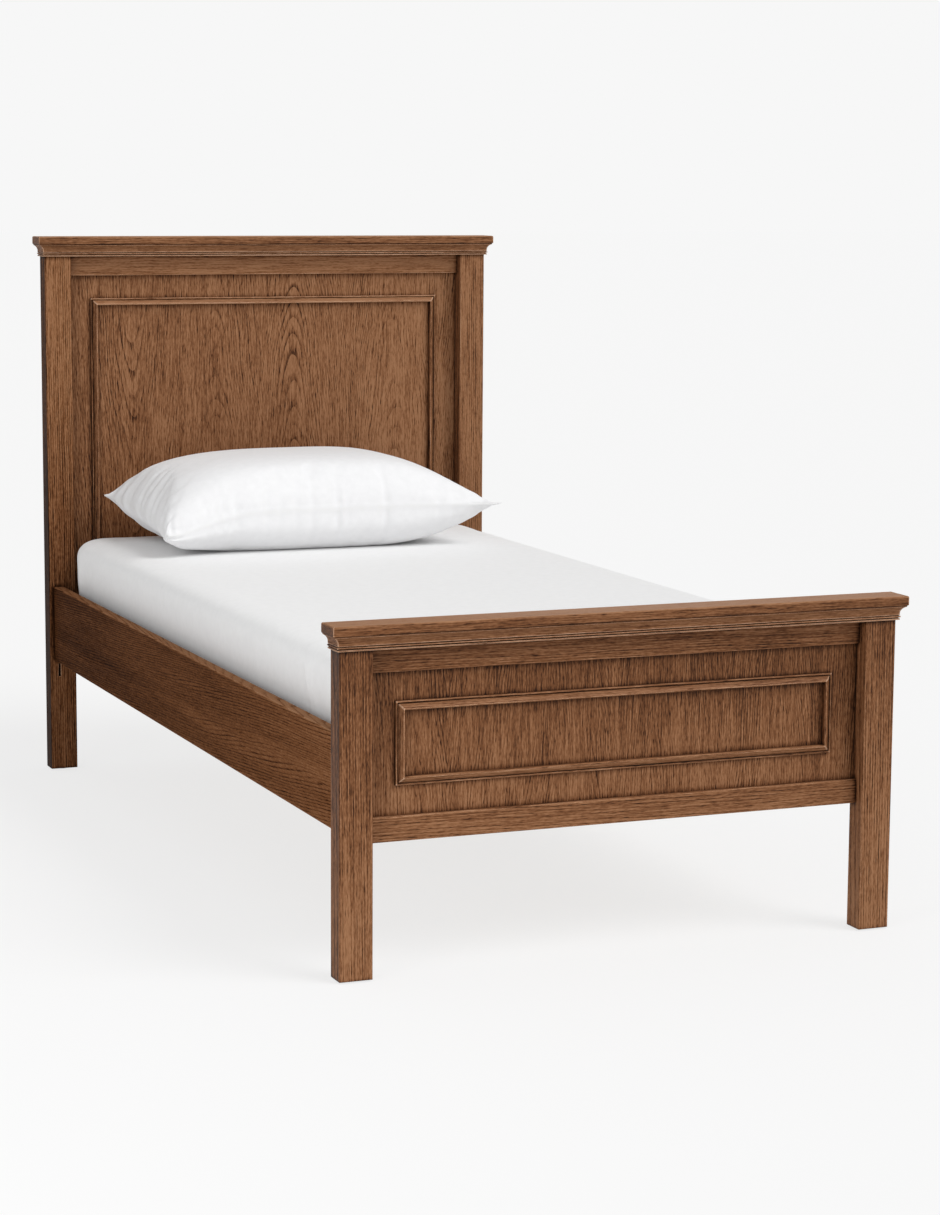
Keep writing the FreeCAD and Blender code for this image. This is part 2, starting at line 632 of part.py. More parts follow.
def mattress():
    """Rounded rectangles at the levels where the sides draw in or swell."""
    body = new_body("mattress")
    sections = []
    for level, inset in MATTRESS_LEVELS:
        wide, long = f"(mattress_width / 2 - {inset})", f"(mattress_length / 2 - {inset})"
        wide_in, long_in = f"({wide} - mattress_corner)", f"({long} - mattress_corner)"
        corners = [(f"-{wide_in}", f"-{long}"), (wide_in, f"-{long}"), (wide, f"-{long_in}"), (wide, long_in),
                   (wide_in, long), (f"-{wide_in}", long), (f"-{wide}", long_in), (f"-{wide}", f"-{long_in}")]
        arcs = {side: QUARTER_RISE for side in (1, 3, 5, 7)}
        sections.append(outline(body, "XY_Plane", corners, level, arcs))
    lofted(body, sections)
    place(body, "0", "mattress_y", "mattress_bottom")


# Height from the seam, corner's reach and swell of the sides, as fractions of the pillow's sizes.
PILLOW_LEVELS = [(-1, 0.28, 0.05), (-0.93, 0.55, 0.05), (-0.68, 0.76, 0.035), (-0.34, 0.89, 0.012),
                 (0, 1, -0.035),
                 (0.34, 0.89, 0.012), (0.68, 0.76, 0.035), (0.93, 0.55, 0.05), (1, 0.28, 0.05)]


def pillow():
    """Four-sided outlines that swell above and below a seam with hollow sides."""
    body = new_body("pillow")
    sections = []
    for height, reach, swell in PILLOW_LEVELS:
        wide, deep = f"pillow_width / 2 * {reach}", f"pillow_depth / 2 * {reach}"
        corners = box(f"-({wide})", f"-({deep})", wide, deep)
        arcs = {side: f"pillow_depth * {swell}" for side in range(4)}
        sections.append(outline(body, "XY_Plane", corners, f"pillow_thick / 2 * {height}", arcs))
    lofted(body, sections)
    place(body, "-pillow_shift", "pillow_y", "pillow_z")


def lofted(body, sections):
    """Solid through a stack of outlines."""
    made = body.newObject("PartDesign::AdditiveLoft", "form")
    made.Profile = sections[0]
    made.Sections = sections[1:]
    made.Ruled = True
    body.Tip = made
    nodes.append(body)


def board(name, front, top):
    """One end of the bed between its posts."""
    cross_rail(name + "_top_rail", front, f"{top} - cross_height", upper=True)
    cross_rail(name + "_low_rail", front, "low_rail_bottom", upper=False)
    panel(name + "_panel", front, top)
    mould_frame(name, front, top)
    crown(name, front, top)


def build():
    fill_sheet()
    pair("head_post", post, "head_front", "head_post_top", "-cut_over", "slot_depth", "pin_in")
    board("head", "head_front", "head_post_top")
    slot = ("post_depth - slot_depth", "post_depth + cut_over")
    pair("foot_post", post, "foot_front", "foot_post_top", *slot, "post_depth - pin_in")
    board("foot", "foot_front", "foot_post_top")
    crown_dowels()
    post_glides()
    pair("side_rail", side_rail)
    pair("rail_hook_head", hook_plate, "head_front", Rotation())
    pair("rail_hook_foot", hook_plate, "foot_back", Rotation(Vector(0, 0, 1), 180))
    pins_and_rivets()
    pair("ledger", ledger)
    ledger_screws()
    slats()
    pair("slat_strap", strap)
    mattress()
    pillow()
    doc.recompute()


def export():
    """Stops on any object in error, then writes one file for each node."""
    for item in doc.Objects:
        if {"Invalid", "Error"} & set(item.State):
            raise RuntimeError(f"{item.Label} is in error")
    os.makedirs("parts", exist_ok=True)
    for node in nodes:
        if node.Shape.isNull() or not node.Shape.isValid():
            raise RuntimeError(f"{node.Label} has no valid shape")
        node.Shape.exportStep(f"parts/{node.Label}.step")


build()
export()
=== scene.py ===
import math

import bmesh
import bpy
import numpy as np
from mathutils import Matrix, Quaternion, Vector


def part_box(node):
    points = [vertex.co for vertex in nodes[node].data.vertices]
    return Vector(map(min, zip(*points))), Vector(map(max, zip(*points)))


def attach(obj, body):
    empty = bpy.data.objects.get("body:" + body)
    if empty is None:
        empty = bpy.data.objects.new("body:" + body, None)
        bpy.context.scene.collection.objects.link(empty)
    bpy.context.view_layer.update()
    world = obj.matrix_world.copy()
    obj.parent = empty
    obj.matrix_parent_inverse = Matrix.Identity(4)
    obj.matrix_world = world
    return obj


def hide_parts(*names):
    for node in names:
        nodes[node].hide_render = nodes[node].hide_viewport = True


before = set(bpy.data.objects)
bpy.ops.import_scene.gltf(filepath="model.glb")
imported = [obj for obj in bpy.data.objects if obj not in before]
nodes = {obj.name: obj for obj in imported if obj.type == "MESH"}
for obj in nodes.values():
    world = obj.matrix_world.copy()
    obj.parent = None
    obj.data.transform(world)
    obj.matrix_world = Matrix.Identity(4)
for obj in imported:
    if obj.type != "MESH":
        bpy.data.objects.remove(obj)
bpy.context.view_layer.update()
scene = bpy.context.scene


# Posts: four square oak posts, planed, stained brown and varnished satin, with eased edges.
# The boards are cut straight, so the growth rings run as fine lines up the post.
# Dowels in their tops are the same wood.

def srgb(code):
    """Linear colour of an sRGB hex code: c / 12.92 when dark, else ((c + 0.055) / 1.055) to the power 2.4."""
    channels = np.array([int(code[i:i + 2], 16) for i in (1, 3, 5)]) / 255
    linear = np.where(channels <= 0.04045, channels / 12.92, ((channels + 0.055) / 1.055) ** 2.4)
    return (*linear.tolist(), 1.0)


def put(tree, kind, inputs=None, **settings):
    """Adds a shader node with its settings; each input is a value, or another node's output to link."""
    made = tree.nodes.new("ShaderNode" + kind)
    for name, setting in settings.items():
        setattr(made, name, setting)
    for socket, given in (inputs or {}).items():
        if isinstance(given, bpy.types.NodeSocket):
            tree.links.new(given, made.inputs[socket])
        else:
            made.inputs[socket].default_value = given
    return made


def new_material(name):
    """An empty node tree with its output, and the surface shader linked to it."""
    material = bpy.data.materials.new(name)
    material.use_nodes = True
    tree = material.node_tree
    tree.nodes.clear()
    shader = put(tree, "BsdfPrincipled")
    put(tree, "OutputMaterial", {"Surface": shader.outputs["BSDF"]})
    return material, tree, shader


def ramp(tree, factor, stops):
    """Colour ramp through (place, hex code) stops."""
    made = put(tree, "ValToRGB", {"Fac": factor})
    elements = made.color_ramp.elements
    while len(elements) < len(stops):
        elements.new(0.5)
    for element, (place, code) in zip(elements, stops):
        element.position = place
        element.color = srgb(code)
    return made.outputs["Color"]


# The last, palest stop is reached only by the painted edge highlights.
STAINED_OAK = [(0.0, "#24130A"), (0.25, "#4C2D19"), (0.5, "#734A2E"), (0.75, "#8E6344"), (0.97, "#A07554"), (1.0, "#C9A184")]
UPRIGHT, ACROSS, ALONG = (0, 1, 2), (2, 1, 0), (2, 0, 1)


def timber(name, way, colours, face, stave, pith, taper=0.0, sway=0.0, offset=0.0, pitch=5.0, wave=1.0, lines=0.6,
           drawn=1.0, stain_and_shade=0.0, side_shade=0.0, end_stain=0.0, under_shade=0.0, shade_to_head=0.0, light_to_right=0.0, shade_by_height=None,
           glaze_and_shade=1.0, even=0.0, fleck=1.2, pore=0.24, speck=0.6, gloss=0.1, roughness=0.5):
    """Wood as rings about a pith that lies behind each stave, or offset to one side of it.

    way gives the axes across, into and along the grain, and face how far the piece lies from the bed's
    middle. Ring radius = root of (across squared + depth squared) + taper x length + sway x slow noise along
    the grain, which opens the rings as arches; a dark early-wood line starts each ring, broken up by pores and
    clearer in some places than in others. Fibres and pores are noise drawn out along the grain. stain deepens
    the whole piece, partly as painted shade on the posts, panels and side rails, and end_stain sinks more into
    end grain. The rest is painted light and shade: settle paints shade in corners and hollows, part of it glaze
    that gathers there; edges get a painted highlight, partly wear; side_shade paints shade on the faces across
    the grain, or light where it is below 0; under_shade paints shade on faces that look down; deepen paints
    shade towards the head and fade paints light to the right, per metre; shade_by_height paints it paler by one amount
    at one height and by another at a second height. Lengths are millimetres, and drawn stretches them along the
    grain. Rings are 5 apart and fibres 2 wide, about three times real size so that they show."""
    material, tree, shader = new_material(name)
    place = put(tree, "TexCoord").outputs["Object"]
    millimetres = put(tree, "VectorMath", {0: place, "Scale": 1000.0}, operation="SCALE").outputs["Vector"]
    axes = put(tree, "SeparateXYZ", {0: millimetres}).outputs
    across, depth, along = (axes[i] for i in way)

    def math_node(operation, *given, clamp=False):
        return put(tree, "Math", dict(enumerate(given)), operation=operation, use_clamp=clamp).outputs[0]

    def drawn_noise(wide, length, detail=2.0):
        scale = (1 / wide, 1 / wide, 1 / (drawn * length))
        stretched = put(tree, "VectorMath", {0: grain, 1: scale}, operation="MULTIPLY")
        return put(tree, "TexNoise", {"Vector": stretched.outputs[0], "Scale": 1.0, "Detail": detail}).outputs[0]

    number = math_node("FLOOR", math_node("DIVIDE", across, stave))
    chance = put(tree, "TexWhiteNoise", {"W": number}, noise_dimensions="1D").outputs["Color"]
    chances = put(tree, "SeparateXYZ", {0: chance}).outputs
    shifted = math_node("MULTIPLY_ADD", chances[0], 4000.0, along)
    grain = put(tree, "CombineXYZ", {0: across, 1: depth, 2: shifted}).outputs[0]

    middle = math_node("MULTIPLY", math_node("ADD", number, math_node("MULTIPLY_ADD", chances[1], 0.5, 0.25)), stave)
    slow = math_node("MULTIPLY_ADD", drawn_noise(70, 420), 46.0 * wave, offset - 23.0 * wave)
    quick = math_node("MULTIPLY_ADD", drawn_noise(17, 110), 10.0 * wave, -5.0 * wave)
    aside = math_node("ADD", math_node("SUBTRACT", across, middle), math_node("ADD", slow, quick))
    behind = math_node("ADD", math_node("SUBTRACT", math_node("ABSOLUTE", depth), face), pith)
    radius = math_node("SQRT", math_node("MULTIPLY_ADD", aside, aside, math_node("MULTIPLY", behind, behind)))
    lean = math_node("MULTIPLY", math_node("SUBTRACT", math_node("ROUND", chances[2]), 0.5), 2 * taper)
    radius = math_node("MULTIPLY_ADD", shifted, lean, radius)
    radius = math_node("MULTIPLY_ADD", drawn_noise(150, 340, 1.0), sway, radius)
    rings = math_node("DIVIDE", radius, pitch)
    ring_chance = put(tree, "TexWhiteNoise", {"W": math_node("FLOOR", rings)}, noise_dimensions="1D").outputs["Value"]
    line = put(tree, "MapRange", {"Value": math_node("FRACT", rings), "From Min": 0.0, "From Max": 0.5,
                                  "To Min": 1.0, "To Max": 0.0}, interpolation_type="SMOOTHSTEP").outputs[0]

    fibre = drawn_noise(1.8, 55, 3.0)
    tone = drawn_noise(45, 260)
    pores = put(tree, "MapRange", {"Value": drawn_noise(1.5, 16), "From Min": 0.52, "From Max": 0.64}).outputs[0]
    early = math_node("MULTIPLY", line, math_node("MULTIPLY_ADD", ring_chance, 0.75 - 0.4 * even, 0.25 + 0.4 * even))
    early = math_node("MULTIPLY", early, math_node("MULTIPLY_ADD", pores, 0.6, 0.5))
    clear = put(tree, "MapRange", {"Value": drawn_noise(75, 300), "From Min": 0.4, "From Max": 0.6,
                                   "To Min": 0.3 + 0.6 * even, "To Max": 1.2}).outputs[0]
    early = math_node("MULTIPLY", early, clear)

    # stain deepens the whole piece; on the posts, panels and side rails it is partly painted shade.
    shade = math_node("MULTIPLY_ADD", math_node("SUBTRACT", fibre, 0.5), fleck, 0.72 - stain_and_shade)
    shade = math_node("MULTIPLY_ADD", math_node("SUBTRACT", tone, 0.5), 0.4, shade)
    shade = math_node("MULTIPLY_ADD", early, -lines, shade)
    shade = math_node("MULTIPLY_ADD", pores, -pore, shade)
    specks = drawn_noise(2.2, 9 / drawn)
    shade = math_node("MULTIPLY_ADD", math_node("SUBTRACT", specks, 0.5), speck, shade)
    # Painted light and shade that change towards the head, to the right and with height.
    shade = math_node("MULTIPLY_ADD", axes[1], -shade_to_head / 1000, shade)
    shade = math_node("MULTIPLY_ADD", axes[0], light_to_right / 1000, shade)
    if shade_by_height:
        (low, paler_low), (high, paler_high) = shade_by_height
        paler = put(tree, "MapRange", {"Value": axes[2], "From Min": low, "From Max": high,
                                       "To Min": paler_low, "To Max": paler_high}).outputs[0]
        shade = math_node("ADD", shade, paler)
    # Painted light and shade by which way a face looks: shade on the faces across the grain (light where side_shade is
    # below 0) and under faces that look down; end grain takes more stain.
    flat = put(tree, "NewGeometry").outputs["Normal"]
    facing = put(tree, "SeparateXYZ", {0: flat}).outputs
    shade = math_node("MULTIPLY_ADD", math_node("ABSOLUTE", facing[way[0]]), -side_shade, shade)
    shade = math_node("MULTIPLY_ADD", math_node("ABSOLUTE", facing[way[2]]), -end_stain, shade)
    shade = math_node("MULTIPLY_ADD", math_node("MINIMUM", facing[2], 0.0), under_shade, shade)
    # Painted shade in corners and hollows, where little light reaches; part of it is glaze that gathers there.
    open_air = put(tree, "AmbientOcclusion", {"Distance": 0.01}, samples=8).outputs["AO"]
    shade = math_node("MULTIPLY_ADD", math_node("SUBTRACT", open_air, 1.0), glaze_and_shade, shade)
    # Painted highlight along convex edges, partly wear, reaching the palest colours.
    eased = put(tree, "Bevel", {"Radius": 0.0035}, samples=8).outputs[0]
    turned = put(tree, "VectorMath", {0: eased, 1: flat}, operation="DOT_PRODUCT").outputs["Value"]
    outer = math_node("MULTIPLY_ADD", open_air, 4.0, -3.0, clamp=True)
    worn_and_lit_edge = math_node("MULTIPLY_ADD", turned, -6.0, 6.0, clamp=True)
    shade = math_node("MINIMUM", shade, 0.9)
    shade = math_node("MULTIPLY_ADD", math_node("MULTIPLY", worn_and_lit_edge, outer), 0.9, shade)
    tree.links.new(ramp(tree, shade, colours), shader.inputs["Base Color"])

    relief = math_node("MULTIPLY_ADD", fibre, 0.3, math_node("MULTIPLY_ADD", early, -0.4, 1.0))
    relief = math_node("MULTIPLY_ADD", pores, -0.6, relief)
    bump = put(tree, "Bump", {"Height": relief, "Strength": 0.3, "Distance": 0.0003, "Normal": eased})
    tree.links.new(bump.outputs[0], shader.inputs["Normal"])
    rough = math_node("MULTIPLY_ADD", pores, 0.15, math_node("MULTIPLY_ADD", fibre, 0.1, roughness - 0.05))
    tree.links.new(rough, shader.inputs["Roughness"])
    shader.inputs["Specular IOR Level"].default_value = gloss
    return material


def finished(material, *names):
    """Gives CAD nodes their finish in every material slot."""
    for name in names:
        mesh = nodes[name].data
        mesh.materials.clear()
        mesh.materials.append(material)


ends = ("head", "foot")
sides = ("left", "right")
straight_grain = dict(face=990, stave=215, pith=60, taper=0.01, offset=240, wave=0.3, lines=1.0, drawn=2.2, even=0.5,
                      fleck=1.0, pore=0.28, speck=0.8)
# Painted shade on the sides across the grain, as on the posts.
straight_oak = timber("stained_oak_upright", UPRIGHT, STAINED_OAK, stain_and_shade=-0.06, side_shade=0.22, **straight_grain)
finished(straight_oak, "crown_dowels")
# Each post has its own tone on its face, the right-hand ones painted paler as lit, and its own painted shade on its
# sides. The head post at left has painted shade low down; the foot posts are painted paler near the floor and darker at
# the top.
foot_heights = (100, 0.11), (590, -0.19)
for post, stain_and_shade, side_shade, gloss, shade_by_height in (
        ("head_post_left", -0.03, 0.5, 0.02, ((550, -0.17), (850, 0.04))),
        ("head_post_right", -0.08, 0.22, 0.1, None),
        ("foot_post_left", 0.0, 0.24, 0.1, foot_heights),
        ("foot_post_right", -0.03, 0.02, 0.1, foot_heights)):
    finished(timber("stained_oak_" + post, UPRIGHT, STAINED_OAK, stain_and_shade=stain_and_shade, side_shade=side_shade, gloss=gloss,
                    shade_by_height=shade_by_height, **straight_grain), post)


# Glides: brown nylon discs nailed under the posts; moulded, so a faint orange-peel surface.

nylon, tree, shader = new_material("moulded_nylon")
peel = put(tree, "TexNoise", {"Vector": put(tree, "TexCoord").outputs["Object"], "Scale": 1500.0})
tint = ramp(tree, peel.outputs[0], [(0.3, "#2B211B"), (0.7, "#362B24")])
tree.links.new(tint, shader.inputs["Base Color"])
shader.inputs["Roughness"].default_value = 0.5
bump = put(tree, "Bump", {"Height": peel.outputs[0], "Strength": 0.2, "Distance": 0.0001})
tree.links.new(bump.outputs[0], shader.inputs["Normal"])
finished(nylon, "post_glides")


# Panels: thin oak-veneered boards in the grooves of posts and rails. The veneer is sliced flat, so
# each leaf shows tall pointed arches where the rings come to the surface.

# The head panel is painted paler to the right, as lit from there; the foot panel is painted darker as shade, paler
# towards the floor and darker at the top.
for end, stain_and_shade, light_to_right, shade_by_height in (("head", -0.02, 0.18, None), ("foot", 0.13, 0.0, ((290, 0.12), (530, -0.09)))):
    finished(timber(f"stained_oak_{end}_veneer", UPRIGHT, STAINED_OAK, face=990, stave=208, pith=12, taper=0.1,
                    sway=34, pitch=5.2, wave=0.6, lines=0.75, stain_and_shade=stain_and_shade, light_to_right=light_to_right, shade_by_height=shade_by_height, glaze_and_shade=0.6),
             f"{end}_panel")


# Cross rails, caps, crown boards and level mouldings: solid oak with the grain across the bed.

level_grain = dict(face=990, stave=190, pith=90, taper=0.015, offset=170, wave=0.4, drawn=1.6)
# Painted light: the faces that look up and down are paler, the pieces paler towards the head and darker towards the
# foot, and paler low down.
level_oak = timber("stained_oak_level", ACROSS, STAINED_OAK, lines=0.6, stain_and_shade=0.03, side_shade=-0.2, end_stain=0.25, shade_to_head=-0.12,
                   shade_by_height=((300, 0.1), (520, 0.0)), **level_grain)
level_pieces = ("top_rail", "low_rail", "crown_core", "mould_top", "mould_bottom")
finished(level_oak, *[f"{end}_{piece}" for end in ends for piece in level_pieces])
finished(straight_oak, *[f"{end}_mould_{side}" for end in ends for side in sides])
# Strong painted shade in the hollows of the cove, part of it glaze.
cove_oak = timber("stained_oak_cove", ACROSS, STAINED_OAK, lines=0.4, stain_and_shade=-0.04, glaze_and_shade=2.4, fleck=0.8, **level_grain)
finished(cove_oak, *[f"{end}_cove_front" for end in ends])
# Its top is painted paler as lit, its underside painted darker as shade, with painted shade in its hollows, and it is a
# little paler towards the head; its end grain takes more stain.
cap_oak = timber("stained_oak_cap", ACROSS, STAINED_OAK, lines=0.7, stain_and_shade=0.12, side_shade=-0.46, end_stain=0.15, under_shade=0.8,
                 shade_to_head=-0.04, glaze_and_shade=1.6, **level_grain)
finished(cap_oak, *[f"{end}_cap" for end in ends])


# Side rails, slat ledgers and the short returns of the crown: solid oak with the grain along the bed.

# Painted shade: the side rails and ledgers are painted much darker, darker still towards the head, with their tops and
# bottoms painted paler.
rail_oak = timber("stained_oak_rail", ALONG, STAINED_OAK, face=524, stave=600, pith=60, taper=0.06, sway=40, pitch=4.6,
                  wave=0.6, lines=0.65, drawn=3.0, even=0.6, fleck=0.4, pore=0.06, speck=0.5, stain_and_shade=0.31,
                  side_shade=-0.45, shade_to_head=0.16, gloss=0.002)
finished(rail_oak, *[f"{piece}_{side}" for piece in ("side_rail", "ledger") for side in sides])
# The returns have strong painted shade in their hollows.
finished(timber("stained_oak_return", ALONG, STAINED_OAK, face=524, stave=260, pith=90, taper=0.015, offset=170,
                wave=0.4, lines=0.5, stain_and_shade=0.2, glaze_and_shade=2.0),
         *[f"{end}_cove_{side}" for end in ends for side in sides])


# Bed hooks, pins and screws: stamped steel with a dull zinc plating.

zinc, tree, shader = new_material("zinc_plated_steel")
spangle = put(tree, "TexNoise", {"Vector": put(tree, "TexCoord").outputs["Object"], "Scale": 250.0, "Detail": 3.0})
tint = ramp(tree, spangle.outputs[0], [(0.3, "#8F9091"), (0.7, "#B3B4B4")])
tree.links.new(tint, shader.inputs["Base Color"])
rough = put(tree, "MapRange", {"Value": spangle.outputs[0], "To Min": 0.3, "To Max": 0.5})
tree.links.new(rough.outputs[0], shader.inputs["Roughness"])
shader.inputs["Metallic"].default_value = 1.0
finished(zinc, *[f"rail_hook_{end}_{side}" for end in ends for side in sides],
         "post_pins", "hook_rivets", "ledger_screws")


# Slats: unstained pine boards on the ledgers, sawn and planed, spaced by two straps of cotton webbing.

PALE_PINE = [(0.0, "#9C6F42"), (0.3, "#C59C6A"), (0.6, "#D6B382"), (1.0, "#E4C79B")]
finished(timber("planed_pine", (1, 2, 0), PALE_PINE, face=328, stave=120, pith=40, taper=0.03,
                roughness=0.6),
         *[f"slat_{number:02d}" for number in range(1, 14)])

webbing, tree, shader = new_material("cotton_webbing")
place = put(tree, "TexCoord").outputs["Object"]
warp = put(tree, "TexWave", {"Vector": place, "Scale": 120.0}, bands_direction="X")
weft = put(tree, "TexWave", {"Vector": place, "Scale": 120.0}, bands_direction="Y")
weave = put(tree, "Math", {0: warp.outputs["Fac"], 1: weft.outputs["Fac"]}, operation="MAXIMUM")
tint = ramp(tree, weave.outputs[0], [(0.2, "#B9B09C"), (0.9, "#DAD3C2")])
tree.links.new(tint, shader.inputs["Base Color"])
shader.inputs["Roughness"].default_value = 0.85
bump = put(tree, "Bump", {"Height": weave.outputs[0], "Strength": 0.5, "Distance": 0.0004})
tree.links.new(bump.outputs[0], shader.inputs["Normal"])
finished(webbing, "slat_strap_left", "slat_strap_right")


# Mattress: a sprung pad in plain ticking, swollen a little by its filling so that the borders bulge.
# The CAD solid is remeshed, blown up as cloth, and kept flat below where it lies on the slats.

def new_piece(name, points, faces):
    """A smooth-shaded mesh object from arrays of points and faces."""
    mesh = bpy.data.meshes.new(name)
    mesh.from_pydata(points.tolist(), [], faces.tolist())
    mesh.shade_smooth()
    piece = bpy.data.objects.new(name, mesh)
    scene.collection.objects.link(piece)
    return piece


def points_of(mesh):
    """Vertex places of a mesh as an array."""
    flat = np.empty(3 * len(mesh.vertices), np.float32)
    mesh.vertices.foreach_get("co", flat)
    return flat.reshape(-1, 3).astype(float)


def quads_of(mesh):
    """Corner numbers of an all-quad mesh as an array."""
    flat = np.empty(len(mesh.loops), np.int32)
    mesh.loops.foreach_get("vertex_index", flat)
    return flat.reshape(-1, 4)


def built(piece):
    """The mesh of a piece with its modifiers worked out."""
    return piece.evaluated_get(bpy.context.evaluated_depsgraph_get()).data


def blown_up(piece, frames, **settings):
    """Runs the closed mesh as weightless cloth under inner pressure; returns where its points end."""
    cloth = piece.modifiers.new("cloth", "CLOTH")
    cloth.point_cache.frame_end = frames
    cloth.settings.use_pressure = True
    cloth.settings.effector_weights.gravity = 0.0
    cloth.collision_settings.use_collision = False
    for name, setting in settings.items():
        setattr(cloth.settings, name, setting)
    for number in range(1, frames + 1):
        scene.frame_set(number)
    ended = points_of(built(piece))
    piece.modifiers.remove(cloth)
    scene.frame_set(1)
    return ended


def capped(start, ended, most):
    """Moves points from start to ended, but none by more than most."""
    step = ended - start
    length = np.linalg.norm(step, axis=1, keepdims=True)
    return start + step * np.minimum(1.0, most / np.maximum(length, 1e-9))


def normals_of(mesh):
    """Vertex normals of a mesh as an array."""
    flat = np.empty(3 * len(mesh.vertices), np.float32)
    mesh.vertex_normals.foreach_get("vector", flat)
    return flat.reshape(-1, 3).astype(float)


def cotton(name, pale, dark, pitch):
    """Plain-woven cotton: threads cross as sets of waves, pitch millimetres apart (coarser than real).

    A seam attribute paints shade along the seam, and loose fibres give a little sheen at a low angle."""
    material, tree, shader = new_material(name)
    place = put(tree, "TexCoord").outputs["Object"]
    scale = 1000.0 * math.pi / (10 * pitch)
    threads = [put(tree, "TexWave", {"Vector": place, "Scale": scale}, bands_direction=axis).outputs["Fac"]
               for axis in "XYZ"]
    weave = put(tree, "Math", {0: threads[0], 1: threads[1]}, operation="ADD").outputs[0]
    weave = put(tree, "Math", {0: weave, 1: threads[2]}, operation="ADD").outputs[0]
    slub = put(tree, "TexNoise", {"Vector": place, "Scale": 60.0, "Detail": 4.0}).outputs[0]
    # Painted shade along the seam: the colour is darker where the seam attribute is high.
    seam = put(tree, "Attribute", attribute_name="seam").outputs["Fac"]
    shaded_at_seam = put(tree, "Math", {0: seam, 1: -0.5, 2: slub}, operation="MULTIPLY_ADD").outputs[0]
    tint = ramp(tree, shaded_at_seam, [(0.0, "#EBEBEB"), (0.3, dark), (0.7, pale)])
    tree.links.new(tint, shader.inputs["Base Color"])
    shader.inputs["Roughness"].default_value = 0.9
    shader.inputs["Specular IOR Level"].default_value = 0.2
    shader.inputs["Sheen Weight"].default_value = 0.25
    bump = put(tree, "Bump", {"Height": weave, "Strength": 0.12, "Distance": 0.0002})
    tree.links.new(bump.outputs[0], shader.inputs["Normal"])
    return material


def rounded(points, quads, turns):
    """Softens a mesh: each turn moves every point halfway to the mean of its neighbours."""
    edges = np.concatenate([quads[:, [i, (i + 1) % 4]] for i in range(4)])
    for _ in range(turns):
        total, count = np.zeros_like(points), np.zeros((len(points), 1))
        np.add.at(total, edges[:, 0], points[edges[:, 1]])
        np.add.at(count, edges[:, 0], 1.0)
        points = 0.5 * points + 0.5 * total / count
    return points


pad_box = [np.array(corner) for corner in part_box("mattress")]
joined = bmesh.new()
joined.from_mesh(nodes["mattress"].data)
bmesh.ops.remove_doubles(joined, verts=joined.verts, dist=1e-5)
shell_mesh = bpy.data.meshes.new("mattress_shell")
joined.to_mesh(shell_mesh)
joined.free()
shell = bpy.data.objects.new("mattress_shell", shell_mesh)
scene.collection.objects.link(shell)
remesh = shell.modifiers.new("remesh", "REMESH")
remesh.mode = "VOXEL"
remesh.voxel_size = 0.0125
cells = built(shell)
pad = new_piece("mattress_pad", points_of(cells), quads_of(cells))
bpy.data.objects.remove(shell)
start = points_of(pad.data)
moved = capped(start, blown_up(pad, 20, uniform_pressure_force=4.0), 0.01)
moved = rounded(moved, quads_of(pad.data), 3)
moved[:, 2] = np.clip(moved[:, 2], pad_box[0][2] + 0.0016, pad_box[1][2] - 0.001)
# The pad is pressed out to the rails, 4 mm to each side, and swells 3 mm more above them.
free = np.clip((moved[:, 2] - 0.43) / 0.02, 0, 1)
moved[:, 0] += (0.004 + 0.003 * free) * np.clip(moved[:, 0] / 0.49, -1, 1) ** 21
held_in = moved[:, 2] < 0.44
moved[held_in, 0] = np.clip(moved[held_in, 0], -0.509, 0.509)
pad.data.vertices.foreach_set("co", moved.astype(np.float32).ravel())
pad.data.materials.append(cotton("mattress_ticking", "#E9E6DF", "#DDD9D0", 1.5))
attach(pad, "mattress_body")
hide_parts("mattress")


# Fitted sheet: one piece of white cotton stretched over the mattress, its elastic hem turned under.
# It is the pad's surface moved out by its own thickness, open below but for a hem 90 mm wide.

quads = quads_of(pad.data)
pad.data.update()
cover = moved + 0.0012 * normals_of(pad.data)
hem_inset = 0.09
centre = cover[quads].mean(axis=1)
inner = (np.abs(centre[:, 0]) < pad_box[1][0] - hem_inset) & (centre[:, 1] > pad_box[0][1] + hem_inset) \
    & (centre[:, 1] < pad_box[1][1] - hem_inset) & (centre[:, 2] < pad_box[0][2] + 0.01)
kept, renumbered = np.unique(quads[~inner], return_inverse=True)
draft = new_piece("sheet_draft", cover[kept], renumbered.reshape(-1, 4))
smooth = draft.modifiers.new("smooth", "SUBSURF")
smooth.levels = smooth.render_levels = 1
fine = built(draft)
points, outward = points_of(fine), normals_of(fine)
# Creases: folds that stand up to 2.6 mm proud and run up the sides, closest near the corners, where the
# elastic gathers the cloth. Each belongs to one side, given by that side's outward direction.
chance = np.random.default_rng(11)
for normal, half, count in (((-1, 0), 0.9525, 16), ((1, 0), 0.9525, 16), ((0, -1), 0.495, 8), ((0, 1), 0.495, 8)):
    on_side = np.clip(outward[:, 0] * normal[0] + outward[:, 1] * normal[1], 0, 1) ** 2
    run = points[:, 1] - 0.026 if normal[0] else points[:, 0]
    place = half * np.sign(chance.uniform(-1, 1, count)) * chance.uniform(0, 1, count) ** 0.4
    lean, tip = chance.uniform(-0.5, 0.5, count), chance.uniform(0.48, 0.537, count)
    width, depth = chance.uniform(0.007, 0.014, count), chance.uniform(0.0006, 0.0026, count)
    height = points[:, 2:3]
    folds = depth * np.exp(-((run[:, None] - place - lean * (height - 0.44)) / width) ** 2) / (1 + np.exp((height - tip) / 0.009))
    points = points + outward * (on_side * folds.sum(axis=1))[:, None]
beside_rail = points[:, 2] < 0.438
points[beside_rail, 0] = np.clip(points[beside_rail, 0], -0.5112, 0.5112)
sheet = new_piece("fitted_sheet", points, quads_of(fine))
bpy.data.objects.remove(draft)
sheet.data.materials.append(cotton("white_sheet_cotton", "#F5F5F5", "#F1F1F1", 1.0))
